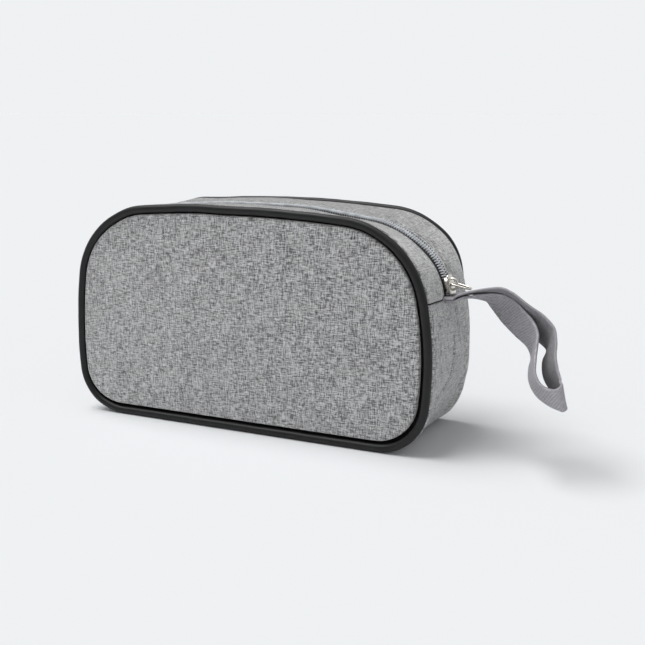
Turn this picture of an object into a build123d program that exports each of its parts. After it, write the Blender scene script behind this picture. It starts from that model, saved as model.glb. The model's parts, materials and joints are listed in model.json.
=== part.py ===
"""Soft zipped utility pouch with piped edges and a looped wrist strap, in millimetres.

Origin: centre of the flat base, on the surface that the pouch stands on.
+X is to the pouch's right, where the strap is sewn in. -Y is the front panel. +Z is up.
"""

import os
from math import asin, atan2, cos, degrees, hypot, radians, sin, sqrt

from build123d import *

# Body, measured over the piping
body_width = 230.0
body_height = 129.3
body_depth = 76.2
bead_diameter = 4.6

# Outline of the panels, on the line of the piping's centre
top_radius = 745.0
side_radius = 180.0
top_corner_radius = 50.0
bottom_corner_radius = 28.0
widest_height = 49.1

# Piping
bead_cover = 0.7
bead_cord_clearance = 0.05
bead_bite = 0.3
flange_thickness = 0.6
flange_width = 8.0
flange_cover = 0.6

# Panels: cloth over foam over lining, with a turned hem round the edge
panel_cloth = 1.2
panel_hem = 1.2
panel_hem_width = 6.6
panel_gap = 0.2
panel_round = 1.0
foam_clearance = 0.1
lining = 0.4
lining_inset = 2.0

# Gusset: base gusset below the side seams, zip strips above them
gusset_cloth = 1.0
gusset_round = 4.0
gusset_foam = 2.0
gusset_foam_inset = 3.2
seam_drop = 48.0
strip_hem_width = 7.0
strip_lining_edge = 7.0
strip_lining_set_back = 0.8

# Binding tape over the raw edges inside
binding_width = 3.2
binding_thickness = 1.2

# Zip
slot_half_width = 5.2
tape_half_width = 15.0
tape_thickness = 0.5
tape_lift = 0.0
chain_half_width = 3.1
chain_thickness = 2.2
chain_split = 0.5
zip_end_gap = 0.2

# Slider
slider_seam_gap = 0.15
slider_length = 11.0
slider_base_length = 9.0
slider_plan_round = 2.0
slider_width = 9.0
slider_nose_width = 7.0
slider_plate = 1.1
slider_wall = 1.0
slider_clearance = 0.4
slider_web = 0.6
slider_web_length = 3.0
crown_length = 7.4
crown_height = 3.7
crown_wire = 1.3
crown_width = 2.2

# Pull
pull_bar = 1.4
pull_bar_clearance = 0.3
pull_wire = 1.2
pull_width = 7.2
pull_tip_width = 3.4
pull_length = 10.0
pull_corner_round = 0.5
pull_droop = -5.5

# Wrist strap
strap_width = 20.0
strap_thickness = 1.2
strap_tail_length = 9.0
strap_slot_clearance = 0.1
strap_root_gap = 0.35
strap_root_length = 1.8
strap_root_swell = 0.15

# Line of the strap from the seam, round its loop and back to the seam, from the strap's root:
# x, y, z of its middle, how far its width leans over from level, and how far that lean turns
# towards the pouch, in degrees
strap_points = [
    (1.0, 0.0, -0.65, 0, 0),
    (2.2, 0.0, -0.65, 0, 0),
    (4.5, 0.0, 0.0, 2, 0),
    (8.0, 0.1, 0.8, 8, 0),
    (12.0, 0.3, 0.9, 12, 0),
    (16.5, 0.4, 0.7, 18, 5),
    (20.5, 0.3, -0.7, 32, 10),
    (24.2, -0.2, -2.0, 48, 15),
    (28.0, -1.2, -3.0, 60, 20),
    (32.0, -2.7, -4.7, 70, 22),
    (38.8, -6.4, -9.0, 70, 21),
    (45.8, -10.0, -14.4, 63, 18),
    (49.0, -14.2, -18.7, 57, 19),
    (50.0, -20.5, -23.4, 59, 21),
    (52.0, -28.0, -29.1, 57, 17),
    (56.0, -34.4, -34.5, 50, 4),
    (60.4, -37.8, -37.3, 45, -4),
    (65.0, -40.0, -39.1, 44, -8),
    (69.2, -40.6, -39.7, 46, -6),
    (70.6, -39.0, -38.1, 46, 0),
    (69.0, -37.0, -36.1, 47, 8),
    (65.4, -33.8, -32.5, 50, 18),
    (60.6, -28.2, -26.1, 56, 28),
    (58.4, -21.2, -19.7, 58, 31),
    (56.6, -14.2, -14.2, 53, 21),
    (50.2, -9.8, -9.2, 47, 14),
    (42.6, -6.6, -4.0, 41, 7),
    (34.8, -3.8, 0.6, 37, 0),
    (30.5, -2.7, 2.5, 33, 0),
    (26.0, -1.8, 3.5, 29, 0),
    (21.3, -1.1, 3.8, 24, 0),
    (16.5, -0.6, 3.7, 18, 0),
    (12.0, -0.3, 3.4, 13, 0),
    (8.0, -0.1, 2.8, 8, 0),
    (4.5, 0.0, 2.0, 4, 0),
    (2.2, 0.0, 0.75, 0, 0),
    (1.0, 0.0, 0.65, 0, 0),
]

# Room outside the body that cutting tools reach past
spare = 20.0

# Worked-out levels
seam_height = body_height - seam_drop
bead_radius = bead_diameter / 2
gusset_rise = bead_radius
half_width = body_width / 2 - bead_radius
bead_top = body_height - bead_radius
bead_plane = body_depth / 2 - bead_radius
flange_plane = body_depth / 2 - bead_diameter + bead_bite
gusset_edge = flange_plane - flange_thickness
panel_back = flange_plane + panel_hem
panel_face = panel_back + panel_cloth
lip_inside = gusset_edge - gusset_cloth
lining_inside = lip_inside - lining
strip_lining_far = lining_inside - strip_lining_set_back
foam_edge = -bead_radius - panel_gap - panel_hem_width
cloth_inside = gusset_rise - gusset_cloth
foam_inside = cloth_inside - gusset_foam
tape_top = tape_lift + tape_thickness
chain_top = tape_top + chain_thickness


def polar(centre, radius, angle):
    """Point at an angle, in degrees, round a centre in the outline's plane."""
    return (centre[0] + radius * cos(radians(angle)), centre[1] + radius * sin(radians(angle)))


def angle_from(origin, point):
    """Direction from one point to another, in degrees."""
    return degrees(atan2(point[1] - origin[1], point[0] - origin[0]))


def meeting_point(centre_a, radius_a, centre_b, radius_b):
    """The right-hand crossing of two circles."""
    apart = hypot(centre_b[0] - centre_a[0], centre_b[1] - centre_a[1])
    along = (radius_a**2 - radius_b**2 + apart**2) / (2 * apart)
    aside = sqrt(radius_a**2 - along**2)
    ux = (centre_b[0] - centre_a[0]) / apart
    uz = (centre_b[1] - centre_a[1]) / apart
    middle = (centre_a[0] + ux * along, centre_a[1] + uz * along)
    crossings = [
        (middle[0] - uz * aside, middle[1] + ux * aside),
        (middle[0] + uz * aside, middle[1] - ux * aside),
    ]
    return max(crossings)


# Centres of the outline's arcs, and the angles at which they meet
side_centre = (half_width - side_radius, widest_height)
top_centre = (0.0, bead_top - top_radius)
corner_centre = meeting_point(
    side_centre, side_radius - top_corner_radius, top_centre, top_radius - top_corner_radius
)
foot_level = bead_radius + bottom_corner_radius
foot_reach = sqrt((side_radius - bottom_corner_radius) ** 2 - (widest_height - foot_level) ** 2)
foot_centre = (side_centre[0] + foot_reach, foot_level)
foot_angle = angle_from(side_centre, foot_centre)
corner_start = angle_from(side_centre, corner_centre)
corner_end = angle_from(top_centre, corner_centre)


def outline(grow=0.0):
    """Face inside the panels' outline, grown outwards, in the XZ plane."""
    right = [
        (foot_centre, bottom_corner_radius, -90.0, foot_angle),
        (side_centre, side_radius, foot_angle, corner_start),
        (corner_centre, top_corner_radius, corner_start, corner_end),
    ]
    left = [((-c[0], c[1]), r, 180.0 - end, 180.0 - start) for c, r, start, end in reversed(right)]
    top = [(top_centre, top_radius, corner_end, 180.0 - corner_end)]
    arcs = [arc(c, r + grow, start, end) for c, r, start, end in right + top + left]
    floor_line = Line(arcs[-1] @ 1, arcs[0] @ 0)
    return make_face(Plane.XZ * Wire([*arcs, floor_line]))


def arc(centre, radius, start, end):
    """Arc round a centre from one angle to another, in degrees."""
    middle = (start + end) / 2
    return ThreePointArc(
        polar(centre, radius, start), polar(centre, radius, middle), polar(centre, radius, end)
    )


def slab(grow, low, high):
    """Solid inside the grown outline, from y = low to y = high."""
    return extrude(Pos(0, low, 0) * outline(grow), high - low, dir=(0, 1, 0))


def band(outer, inner, low, high):
    """Closed band between two grown outlines, from y = low to y = high."""
    return slab(outer, low, high) - slab(inner, low, high)


def pillow(grow, half, radius):
    """Slab about the middle plane with both of its rims rounded."""
    body = slab(grow, -half, half)
    rims = [e for e in body.edges() if abs(abs(e.center().Y) - half) < 1e-6]
    return fillet(rims, radius)


def above(height):
    """Block that holds everything above a height."""
    reach = body_width + spare
    return Pos(0, 0, height) * Box(
        reach, reach, reach, align=(Align.CENTER, Align.CENTER, Align.MIN)
    )


def below(height):
    """Block that holds everything below a height."""
    reach = body_width + spare
    return Pos(0, 0, height) * Box(
        reach, reach, reach, align=(Align.CENTER, Align.CENTER, Align.MAX)
    )


def between_y(low, high):
    """Block that holds everything between two planes across Y."""
    reach = 2 * body_width
    return Pos(0, (low + high) / 2, 0) * Box(reach, high - low, reach)


def gusset_skin():
    """The whole gusset's cloth, with its edges turned in behind the panels."""
    outside = pillow(gusset_rise, gusset_edge, gusset_round)
    inside = pillow(cloth_inside, lip_inside, gusset_round - gusset_cloth)
    return outside - inside - slab(-flange_width, -body_depth, body_depth)


# Where the strap leaves the gusset: the gusset's face at the height of the side seam
rise = seam_height - side_centre[1]
strap_exit = side_centre[0] + sqrt((side_radius + gusset_rise) ** 2 - rise**2)
strap_root_radius = strap_thickness + strap_root_swell
strap_root = Vector(strap_exit + strap_root_gap + strap_root_radius, 0, seam_height)
notch = Pos(strap_exit, 0, seam_height) * Box(
    2 * (strap_tail_length + strap_slot_clearance),
    strap_width + 2 * strap_slot_clearance,
    2 * strap_thickness,
)
seam_level_up = seam_height + strap_thickness + strap_slot_clearance
seam_level_down = seam_height - strap_thickness - strap_slot_clearance


def bead_rod(radius):
    """Rod of one radius that follows the front panel's outline."""
    line = (Pos(0, -bead_plane, 0) * outline()).face().outer_wire()
    return sweep(Plane(origin=line @ 0, z_dir=line % 0) * Circle(radius), path=line)


def front_piping():
    """Cover of the front piping: a tube round the cord, and the flange that is sewn in."""
    flange = band(flange_cover, -flange_width, -flange_plane, -gusset_edge)
    return bead_rod(bead_radius) + flange - bead_rod(bead_radius - bead_cover)


def front_piping_cord():
    """Cord inside the front piping."""
    return bead_rod(bead_radius - bead_cover - bead_cord_clearance)


def front_panel():
    """Front panel's cloth, thicker round its edge where it is turned in."""
    plate = slab(-bead_radius - panel_gap, -panel_face, -flange_plane)
    rim = [e for e in plate.edges() if abs(e.center().Y + panel_face) < 1e-6]
    plate = fillet(rim, panel_round)
    return plate - slab(foam_edge + foam_clearance, -panel_back, -flange_plane + spare)


def front_foam():
    """Foam behind the front panel."""
    return slab(min(foam_edge, -flange_width - foam_clearance), -panel_back, -lip_inside)


def front_lining():
    """Lining behind the front foam."""
    return slab(-lining_inset, -lip_inside, -lining_inside)


def base_gusset():
    """Gusset cloth round the sides and the bottom, up to the side seams."""
    return gusset_skin() & below(seam_height) - notch


def base_foam():
    """Foam inside the base gusset."""
    half = lip_inside - gusset_foam_inset
    return band(cloth_inside, foam_inside, -half, half) & below(seam_level_down)


def base_lining():
    """Lining inside the base foam."""
    return band(foam_inside, foam_inside - lining, -lining_inside, lining_inside) & below(
        seam_level_down
    )


def zip_strip_front():
    """Gusset cloth between the front panel and the zip, hemmed along the zip."""
    skin = gusset_skin() & between_y(-body_depth, -slot_half_width)
    hem = band(cloth_inside, tape_top, -slot_half_width - strip_hem_width, -slot_half_width)
    return (skin + hem) & above(seam_height) - notch


def zip_strip_front_lining():
    """Lining under the front zip strip and its tape."""
    strip = band(tape_lift, tape_lift - lining, -strip_lining_far, -strip_lining_edge)
    return strip & above(seam_level_up)


def zipper_tape_front():
    """Front tape of the zip, from side seam to side seam."""
    tape = band(tape_top, tape_lift, -tape_half_width, -chain_split)
    return tape & above(seam_level_up + zip_end_gap)


def zipper_coil_front():
    """Front half of the chain, on its tape."""
    coil = band(chain_top, tape_top, -chain_half_width, -chain_split)
    return coil & above(seam_level_up + zip_end_gap)


def front_seam_binding():
    """Tape bound over the raw edges of the front seam, inside the pouch."""
    outer = foam_inside - lining
    return band(
        outer, outer - binding_width, -lining_inside, -lining_inside + binding_thickness
    )


def sector(low, high, near, far, start, end):
    """Curved block on the top corner's arc: from one offset and angle to another, across Y."""
    inner = top_corner_radius + low
    outer = top_corner_radius + high
    inside = arc(corner_centre, inner, start, end)
    outside = arc(corner_centre, outer, start, end)
    sides = [Line(inside @ 1, outside @ 1), Line(outside @ 0, inside @ 0)]
    face = make_face(Plane.XZ * Wire([inside, outside, *sides]))
    return extrude(Pos(0, near, 0) * face, far - near, dir=(0, 1, 0))


# Slider: its side walls' lower ends lie just above the strap's sewn-in ends
wall_low = tape_top + slider_clearance
plate_low = chain_top + slider_clearance
plate_high = plate_low + slider_plate
base_high = tape_lift - slider_clearance
base_low = base_high - slider_plate
slider_half_angle = degrees(slider_length / 2 / (top_corner_radius + plate_low))
base_half_angle = degrees(slider_base_length / 2 / (top_corner_radius + base_high))
web_half_angle = degrees(slider_web_length / 2 / top_corner_radius)
end_rise = seam_level_up + slider_seam_gap - corner_centre[1]
slider_angle = degrees(asin(end_rise / (top_corner_radius + wall_low))) + slider_half_angle
slider_seat = polar(corner_centre, top_corner_radius + plate_high, slider_angle)
slider_place = Plane(
    origin=(slider_seat[0], 0, slider_seat[1]),
    x_dir=(-sin(radians(slider_angle)), 0, cos(radians(slider_angle))),
    z_dir=(cos(radians(slider_angle)), 0, sin(radians(slider_angle))),
)


def slider_body():
    """Slider: top plate and base plate joined by a web, with side walls over the chain."""
    start = slider_angle - slider_half_angle
    end = slider_angle + slider_half_angle
    half = slider_width / 2
    wall_inside = half - slider_wall
    body = sector(plate_low, plate_high, -half, half, start, end)
    body += sector(
        base_low, base_high, -half, half,
        slider_angle - base_half_angle, slider_angle + base_half_angle,
    )
    for low, high in ((-half, -wall_inside), (wall_inside, half)):
        body += sector(wall_low, plate_low, low, high, start, end)
    body += sector(
        base_high, plate_low, -slider_web / 2, slider_web / 2,
        slider_angle - web_half_angle, slider_angle + web_half_angle,
    )
    return body & slider_plan()


def slider_plan():
    """The slider's outline seen from above: wide shoulders, narrow nose, rounded corners."""
    half = slider_width / 2
    nose = slider_nose_width / 2
    reach = slider_length / 2 + slider_plate
    corners = [(-reach, -half), (0, -half), (reach, -nose), (reach, nose), (0, half), (-reach, half)]
    plan = make_face(Polyline(*corners, close=True))
    ends = plan.vertices().filter_by(lambda v: abs(v.X) > reach / 2)
    plan = fillet(ends, slider_plan_round)
    return extrude(slider_place * plan, spare, both=True)


def slider_crown():
    """Arch on the slider's top plate that holds the pull."""
    half = crown_length / 2
    outer = Polyline((-half, 0), (-half, crown_height), (half, crown_height), (half, 0), close=True)
    inner_half = half - crown_wire
    inner = Polyline(
        (-inner_half, 0), (-inner_half, crown_height - crown_wire),
        (inner_half, crown_height - crown_wire), (inner_half, 0), close=True,
    )
    side = Plane(
        origin=slider_place.origin, x_dir=slider_place.x_dir, z_dir=slider_place.y_dir * -1
    )
    top_corners = make_face(outer).vertices().filter_by(lambda v: v.Y > crown_wire)
    inner_corners = make_face(inner).vertices().filter_by(lambda v: v.Y > crown_wire)
    big = fillet(top_corners, crown_height - crown_wire)
    small = fillet(inner_corners, crown_wire)
    arch = extrude(side * (big - small), crown_width / 2, both=True)
    foot = sector(
        plate_low, plate_high, -slider_width, slider_width,
        slider_angle - 90, slider_angle + 90,
    )
    return arch - foot


pivot_height = pull_bar / 2 + pull_bar_clearance
pivot = slider_place.origin + slider_place.z_dir * pivot_height


def slider_pull():
    """Pull: a bar through the crown, and a tapered wire frame that hangs outwards from it."""
    bar = Rot(90, 0, 0) * Cylinder(pull_bar / 2, pull_width - pull_wire)
    half = (pull_width - pull_wire) / 2
    tip = (pull_tip_width - pull_wire) / 2
    line = FilletPolyline(
        (0, -half), (pull_length - tip * 2, -half + tip / 2), (pull_length, -tip / 2),
        (pull_length, tip / 2), (pull_length - tip * 2, half - tip / 2), (0, half),
        radius=pull_corner_round,
    )
    start = Plane(origin=line @ 0, z_dir=line % 0)
    frame = sweep(start * Circle(pull_wire / 2), path=line)
    return Pos(pivot) * Rot(0, -pull_droop, 0) * (bar + frame)


def strap_section(index):
    """Rectangle across the strap at one of its points, square to its run."""
    here = Vector(*strap_points[index][:3])
    before = Vector(*strap_points[max(index - 1, 0)][:3])
    after = Vector(*strap_points[min(index + 1, len(strap_points) - 1)][:3])
    run = (after - before).normalized()
    lean = radians(strap_points[index][3])
    turn = radians(strap_points[index][4])
    leaning = Vector(-sin(turn), 0, -cos(turn))
    across = Vector(0, 1, 0) * cos(lean) + leaning * sin(lean)
    across = (across - run * across.dot(run)).normalized()
    place = Plane(origin=strap_root + here, x_dir=across, z_dir=run)
    return place * Rectangle(strap_width, strap_thickness)


def wrist_strap():
    """Strap outside the seam: one ribbon round the loop and back, its two ends joined."""
    ribbon = loft([strap_section(i) for i in range(len(strap_points))], ruled=True)
    root = Pos(strap_root) * Rot(90, 0, 0) * Cylinder(strap_root_radius, strap_width)
    block = Pos(strap_root) * Box(
        strap_root_length, strap_width, 2 * strap_root_radius,
        align=(Align.MIN, Align.CENTER, Align.CENTER),
    )
    return ribbon + root + block


def strap_tails():
    """Ends of the strap inside the seam, one layer on the other."""
    return Pos(strap_exit, 0, seam_height) * Box(
        strap_tail_length, strap_width, 2 * strap_thickness,
        align=(Align.MAX, Align.CENTER, Align.CENTER),
    )


def back_of(piece):
    """The same piece on the back half of the pouch."""
    return mirror(piece, about=Plane.XZ)


def all_pieces():
    """Every sub-part by name."""
    pieces = {
        "front_piping": front_piping(),
        "front_piping_cord": front_piping_cord(),
        "front_panel": front_panel(),
        "front_foam": front_foam(),
        "front_lining": front_lining(),
        "front_seam_binding": front_seam_binding(),
        "zip_strip_front": zip_strip_front(),
        "zip_strip_front_lining": zip_strip_front_lining(),
        "zipper_tape_front": zipper_tape_front(),
        "zipper_coil_front": zipper_coil_front(),
    }
    for name in list(pieces):
        pieces[name.replace("front", "back")] = back_of(pieces[name])
    pieces["base_gusset"] = base_gusset()
    pieces["base_foam"] = base_foam()
    pieces["base_lining"] = base_lining()
    pieces["strap_tails"] = strap_tails()
    pieces["wrist_strap"] = wrist_strap()
    pieces["slider_body"] = slider_body()
    pieces["slider_crown"] = slider_crown()
    pieces["slider_pull"] = slider_pull()
    return pieces


os.makedirs("parts", exist_ok=True)
for name, piece in all_pieces().items():
    export_step(piece, f"parts/{name}.step")
print("corner centre", corner_centre, "from", corner_start, "to", corner_end)
print("strap axis", strap_root, "pull axis", pivot, "slider angle", slider_angle)
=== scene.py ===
"""Looks of a soft zipped utility pouch with piped edges and a looped wrist strap.

Lengths are in metres, in the part's own frame: the origin is the middle of the base on the floor,
+X points to the end with the strap, -Y to the front panel and +Z up.
"""

import json
import math

import bmesh
import bpy
import numpy as np
from bpy.props import FloatProperty, FloatVectorProperty, IntProperty, PointerProperty
from mathutils import Matrix, Vector


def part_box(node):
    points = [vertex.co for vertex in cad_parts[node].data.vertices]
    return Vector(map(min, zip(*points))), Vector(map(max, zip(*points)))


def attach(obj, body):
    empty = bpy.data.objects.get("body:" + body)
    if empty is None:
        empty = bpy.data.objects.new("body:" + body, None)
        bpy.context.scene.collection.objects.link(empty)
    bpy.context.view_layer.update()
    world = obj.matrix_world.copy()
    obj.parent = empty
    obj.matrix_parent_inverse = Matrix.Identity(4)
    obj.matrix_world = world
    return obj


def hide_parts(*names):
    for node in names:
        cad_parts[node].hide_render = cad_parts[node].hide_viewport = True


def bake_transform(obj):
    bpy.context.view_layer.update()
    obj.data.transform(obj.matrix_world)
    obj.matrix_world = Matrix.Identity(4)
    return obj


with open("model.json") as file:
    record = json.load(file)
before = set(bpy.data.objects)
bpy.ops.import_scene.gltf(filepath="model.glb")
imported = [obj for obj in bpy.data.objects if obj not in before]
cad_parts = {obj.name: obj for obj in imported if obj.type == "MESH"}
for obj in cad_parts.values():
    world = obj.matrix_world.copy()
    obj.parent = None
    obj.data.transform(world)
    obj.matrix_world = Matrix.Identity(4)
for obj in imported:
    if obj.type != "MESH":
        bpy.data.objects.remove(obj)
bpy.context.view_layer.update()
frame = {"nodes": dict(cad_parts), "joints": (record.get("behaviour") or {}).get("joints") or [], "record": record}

bl_info = {
    "name": "Utility pouch",
    "version": (1, 0, 0),
    "blender": (4, 5, 0),
    "location": "View3D > Sidebar > Pouch",
    "description": "Dresses a soft zipped pouch with piped edges and a wrist strap",
    "category": "Object",
}

MM = 0.001

# Both sides and the sign of their y
SIDES = (("front", -1), ("back", 1))


def joint_place(name):
    """Where a joint's axis is, in the frame."""
    return Vector(next(j["pos_m"] for j in frame["joints"] if j["name"] == name))


# Outline of the panels, on the line of the piping's centre
TOP_RADIUS = 745 * MM
SIDE_RADIUS = 180 * MM
TOP_CORNER_RADIUS = 50 * MM
BOTTOM_CORNER_RADIUS = 28 * MM
WIDEST_HEIGHT = 49.1 * MM
BEAD_RADIUS = 2.3 * MM

# Places taken from the solids
piping_low, piping_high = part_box("front_piping")
HALF_WIDTH = piping_high.x - BEAD_RADIUS
BEAD_TOP = piping_high.z - BEAD_RADIUS
BEAD_PLANE = -piping_low.y - BEAD_RADIUS
GUSSET_EDGE = -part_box("base_gusset")[0].y
PANEL_FACE = -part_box("front_panel")[0].y
FLANGE_PLANE = GUSSET_EDGE + 0.6 * MM
SEAM_HEIGHT = joint_place("strap_swing").z
CORNER_CENTRE = joint_place("slider_travel")
PULL_PIVOT = joint_place("pull_flip")
STRAP_ROOT = joint_place("strap_swing")

# Sections of the gusset's cloth, its seams and the zip. Levels are over the line of the
# piping's centre. Some sizes differ a little from the solids' own, for a softer look
GUSSET_RISE = BEAD_RADIUS
GUSSET_CLOTH = 1.0 * MM
GUSSET_ROUND = 1.8 * MM
SEAM_DEPTH = 5.0 * MM
SLOT_HALF_WIDTH = 6.3 * MM
HEM_WIDTH = 6.5 * MM
HEM_THICKNESS = 0.6 * MM
TAPE_HALF_WIDTH = 15.0 * MM
TAPE_THICKNESS = 0.5 * MM
CHAIN_HALF_WIDTH = 3.1 * MM
CORD_RADIUS = 1.5 * MM
STITCH_LINE = SLOT_HALF_WIDTH + 2.2 * MM

# How far the soft body leaves its straight form, and the cloth its even face
TOP_SAG = 0.9 * MM
RIGHT_SHOULDER_SAG = 2.5 * MM
LEFT_SHOULDER_SAG = 0.4 * MM
CORNER_SAG = 4.0 * MM
BACK_DRAW = 5.0 * MM
LOW_BACK_DRAW = 0.6 * MM
LEFT_SWELL = 0.7 * MM
LEFT_FALL = 0.6 * MM
LEFT_TOP_RISE = 0.8 * MM
BACK_DIP = 0.45 * MM
RIGHT_BACK_DIP = 0.75 * MM
FRONT_PUFF = 0.9 * MM
SEAM_TUCK = 0.9 * MM
SEAM_GAP = 0.4 * MM
STRAP_OPENING = 1.1 * MM
SEAM_LEAN = 0.05
STITCH_SINK = 0.22 * MM
GUSSET_WAVES = 0.35 * MM
STRIP_WAVES = 0.4 * MM
PIPING_WAVES = 0.12 * MM
PANEL_WAVES = 0.22 * MM

# Where such a form starts, is full, fades and ends, in millimetres: the shoulders along the
# zip from the middle of the top, the corners and the back's ends by height, the others by x
SHOULDERS = (20, 68, 80, 116)
LOW_CORNERS = (3, 13, 18, 46)
BACK_ENDS = (3, 22, 75, 111)
LEFT_TOP = (-88, -66, -30, -5)
RIGHT_BACK = (-20, 15, 58, 88)

# Line of the strap from the seam, round its loop and back to the seam, from the strap's root:
# x, y, z of its middle in millimetres, how far its width leans over from level, and how far
# that lean turns towards the pouch, in degrees
STRAP_POINTS = [
    (1.0, 0.0, -0.65, 0, 0),
    (2.2, 0.0, -0.65, 0, 0),
    (4.5, 0.0, 0.0, 2, 0),
    (8.0, 0.1, 0.8, 8, 0),
    (12.0, 0.3, 0.9, 12, 0),
    (16.5, 0.4, 1.0, 20, 5),
    (20.5, 0.3, -0.2, 34, 10),
    (24.2, -0.2, -1.7, 46, 15),
    (28.0, -1.2, -3.3, 56, 20),
    (32.0, -2.7, -5.2, 61, 22),
    (38.8, -6.4, -9.5, 61, 21),
    (45.8, -10.0, -14.6, 58, 18),
    (49.0, -14.2, -18.7, 57, 19),
    (50.0, -20.5, -23.4, 59, 21),
    (52.0, -28.0, -29.1, 57, 17),
    (56.0, -34.4, -34.5, 50, 4),
    (60.4, -37.8, -37.3, 45, -4),
    (65.0, -40.0, -38.7, 44, -8),
    (69.2, -40.6, -38.8, 46, -6),
    (70.6, -39.0, -37.4, 46, 0),
    (69.0, -37.0, -36.1, 47, 8),
    (65.4, -33.8, -32.5, 50, 18),
    (60.6, -28.2, -26.1, 56, 28),
    (58.4, -21.2, -19.7, 58, 31),
    (56.6, -14.2, -14.2, 53, 21),
    (50.2, -9.8, -9.9, 58, 14),
    (42.6, -6.6, -4.0, 45, 7),
    (34.8, -3.8, 1.5, 39, 0),
    (30.5, -2.7, 3.5, 34, 0),
    (26.0, -1.8, 3.9, 29, 0),
    (21.3, -1.1, 3.8, 24, 0),
    (16.5, -0.6, 3.7, 18, 0),
    (12.0, -0.3, 3.4, 13, 0),
    (8.0, -0.1, 2.8, 8, 0),
    (4.5, 0.0, 2.0, 4, 0),
    (2.2, 0.0, 0.75, 0, 0),
    (1.0, 0.0, 0.65, 0, 0),
]

# Creases and soft ridges of the right-hand side of the gusset: (y, z) of both ends in
# millimetres, how far the cloth moves outwards, and how wide the crease is
SIDE_FOLDS = [
    ((-1.2, 62.0), (-0.8, 53.0), -0.9, 1.3),
    ((-0.8, 53.0), (-2.6, 42.0), -1.3, 1.3),
    ((-2.6, 42.0), (-6.2, 32.0), -1.3, 1.5),
    ((-6.2, 32.0), (-20.0, 26.5), -1.2, 1.8),
    ((-20.0, 26.5), (-32.0, 26.0), -0.9, 2.2),
    ((-31.5, 79.0), (-30.5, 62.0), 0.9, 1.3),
    ((-30.5, 62.0), (-30.0, 40.0), 0.8, 1.4),
    ((-22.0, 70.0), (-9.0, 75.5), 0.9, 1.3),
    ((-23.5, 64.5), (-12.5, 68.5), 0.6, 1.3),
    ((-18.5, 72.0), (-14.5, 52.0), 0.6, 1.6),
    ((-23.0, 58.0), (-18.0, 38.0), 0.6, 2.2),
    ((5.0, 76.0), (9.0, 52.0), -0.7, 1.8),
    ((12.0, 70.0), (20.0, 40.0), -0.7, 3.0),
    ((22.0, 60.0), (26.0, 34.0), 0.5, 2.4),
]


class PouchSizes(bpy.types.PropertyGroup):
    """Sizes that a user would change."""

    panel_crown: FloatProperty(
        name="Panel crown", description="How far the middle of a padded panel stands out",
        default=3.0 * MM, min=0.0, max=8.0 * MM, unit="LENGTH",
    )
    cloth_thread: FloatProperty(
        name="Thread", description="Spacing of the cloth's threads",
        default=0.38 * MM, min=0.1 * MM, max=3 * MM, unit="LENGTH",
    )
    coil_pitch: FloatProperty(
        name="Coil pitch", description="Distance from one turn of a zip coil to the next",
        default=1.45 * MM, min=0.5 * MM, max=4 * MM, unit="LENGTH",
    )
    stitch_pitch: FloatProperty(
        name="Stitch pitch", description="Distance from one stitch to the next",
        default=3.1 * MM, min=1 * MM, max=8 * MM, unit="LENGTH",
    )
    swell_frames: IntProperty(
        name="Swelling frames", description="Frames for which a panel's cloth swells",
        default=20, min=2, max=60,
    )


class PouchColours(bpy.types.PropertyGroup):
    """Colours that a user would change, as linear values."""

    yarn_dark: FloatVectorProperty(
        name="Dark yarn", description="Darkest yarn of the melange cloth",
        default=(0.045, 0.046, 0.048), subtype="COLOR", size=3, min=0.0, max=1.0,
    )
    yarn_light: FloatVectorProperty(
        name="Light yarn", description="Palest yarn of the melange cloth",
        default=(0.70, 0.70, 0.70), subtype="COLOR", size=3, min=0.0, max=1.0,
    )
    vinyl: FloatVectorProperty(
        name="Piping", description="Vinyl that covers the piping",
        default=(0.011, 0.011, 0.0115), subtype="COLOR", size=3, min=0.0, max=1.0,
    )
    webbing: FloatVectorProperty(
        name="Webbing", description="Yarn of the wrist strap",
        default=(0.36, 0.35, 0.375), subtype="COLOR", size=3, min=0.0, max=1.0,
    )
    coil: FloatVectorProperty(
        name="Zip coil", description="Nylon of the zip's coils",
        default=(0.74, 0.765, 0.80), subtype="COLOR", size=3, min=0.0, max=1.0,
    )
    backdrop: FloatVectorProperty(
        name="Backdrop", description="Floor and backdrop",
        default=(0.863, 0.880, 0.896), subtype="COLOR", size=3, min=0.0, max=1.0,
    )


def sizes():
    """The sizes in use."""
    return bpy.context.scene.pouch_sizes


def colours():
    """The colours in use."""
    return bpy.context.scene.pouch_colours


# The panels' outline


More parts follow.
